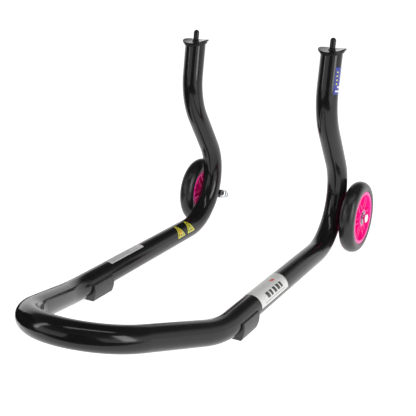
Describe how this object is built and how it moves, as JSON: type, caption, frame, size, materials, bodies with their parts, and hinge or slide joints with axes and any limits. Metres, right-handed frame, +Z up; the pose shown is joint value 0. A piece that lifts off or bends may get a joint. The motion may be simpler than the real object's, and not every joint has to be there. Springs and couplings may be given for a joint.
{
  "type": "motorcycle paddock stand",
  "caption": "Front paddock stand: bent tube frame with U handle, saddle plates with lift pins on the uprights, plastic feet and spoked wheels on bolted axles.",
  "frame": {"origin": "On the floor at the middle of the overall box: X = 0 is the mirror plane between the two rails, Y = 0 is half way along the stand, Z = 0 is the floor.", "axes": "+Z up, +Y from the handle towards the wheels and uprights, +X to the stand's right-hand wheel seen from the handle."},
  "size_m": [0.3246, 0.645, 0.3435],
  "materials": {
    "frame_paint": "gloss black powder coat",
    "saddle_paint": "gloss black paint over weld",
    "foot_plastic": "satin black moulded plastic",
    "zinc_plate": "bright zinc plate",
    "nylon": "translucent nylon",
    "tyre_rubber": "satin black polyurethane",
    "hub_plastic": "satin magenta moulded plastic",
    "bearing_steel": "ground bearing steel",
    "cage_nylon": "natural nylon"
  },
  "bodies": {
    "frame": {"frame_tube": "frame_paint", "left_saddle": "saddle_paint", "right_saddle": "saddle_paint", "left_lift_pin": "saddle_paint", "right_lift_pin": "saddle_paint", "left_foot": "foot_plastic", "right_foot": "foot_plastic", "left_axle_boss": "frame_paint", "right_axle_boss": "frame_paint", "left_axle_bolt": "zinc_plate", "right_axle_bolt": "zinc_plate", "left_lock_nut": "zinc_plate", "right_lock_nut": "zinc_plate", "nut_inserts": "nylon", "nut_washers": "zinc_plate", "head_washers": "zinc_plate", "shim_washers": "zinc_plate", "bearing_spacers": "zinc_plate", "left_bearing_inner_rings": "bearing_steel", "right_bearing_inner_rings": "bearing_steel"},
    "left_wheel": {"left_tyre": "tyre_rubber", "left_hub": "hub_plastic", "left_bearing_outer_rings": "bearing_steel", "left_bearing_shields": "bearing_steel"},
    "left_ball_sets": {"left_bearing_balls": "bearing_steel", "left_bearing_cages": "cage_nylon"},
    "right_wheel": {"right_tyre": "tyre_rubber", "right_hub": "hub_plastic", "right_bearing_outer_rings": "bearing_steel", "right_bearing_shields": "bearing_steel"},
    "right_ball_sets": {"right_bearing_balls": "bearing_steel", "right_bearing_cages": "cage_nylon"}
  },
  "joints": [
    {"name": "left_wheel_spin", "type": "hinge", "parent": "frame", "child": "left_wheel", "pos_m": [-0.145, 0.26505, 0.0575], "axis": [1, 0, 0], "continuous": true},
    {"name": "left_ball_spin", "type": "hinge", "parent": "frame", "child": "left_ball_sets", "pos_m": [-0.145, 0.26505, 0.0575], "axis": [1, 0, 0], "continuous": true},
    {"name": "right_wheel_spin", "type": "hinge", "parent": "frame", "child": "right_wheel", "pos_m": [0.145, 0.26505, 0.0575], "axis": [1, 0, 0], "continuous": true},
    {"name": "right_ball_spin", "type": "hinge", "parent": "frame", "child": "right_ball_sets", "pos_m": [0.145, 0.26505, 0.0575], "axis": [1, 0, 0], "continuous": true}
  ],
  "couplings": [
    {"joint": "left_ball_spin", "follows": "left_wheel_spin", "ratio": 0.632},
    {"joint": "right_ball_spin", "follows": "right_wheel_spin", "ratio": 0.632}
  ]
}
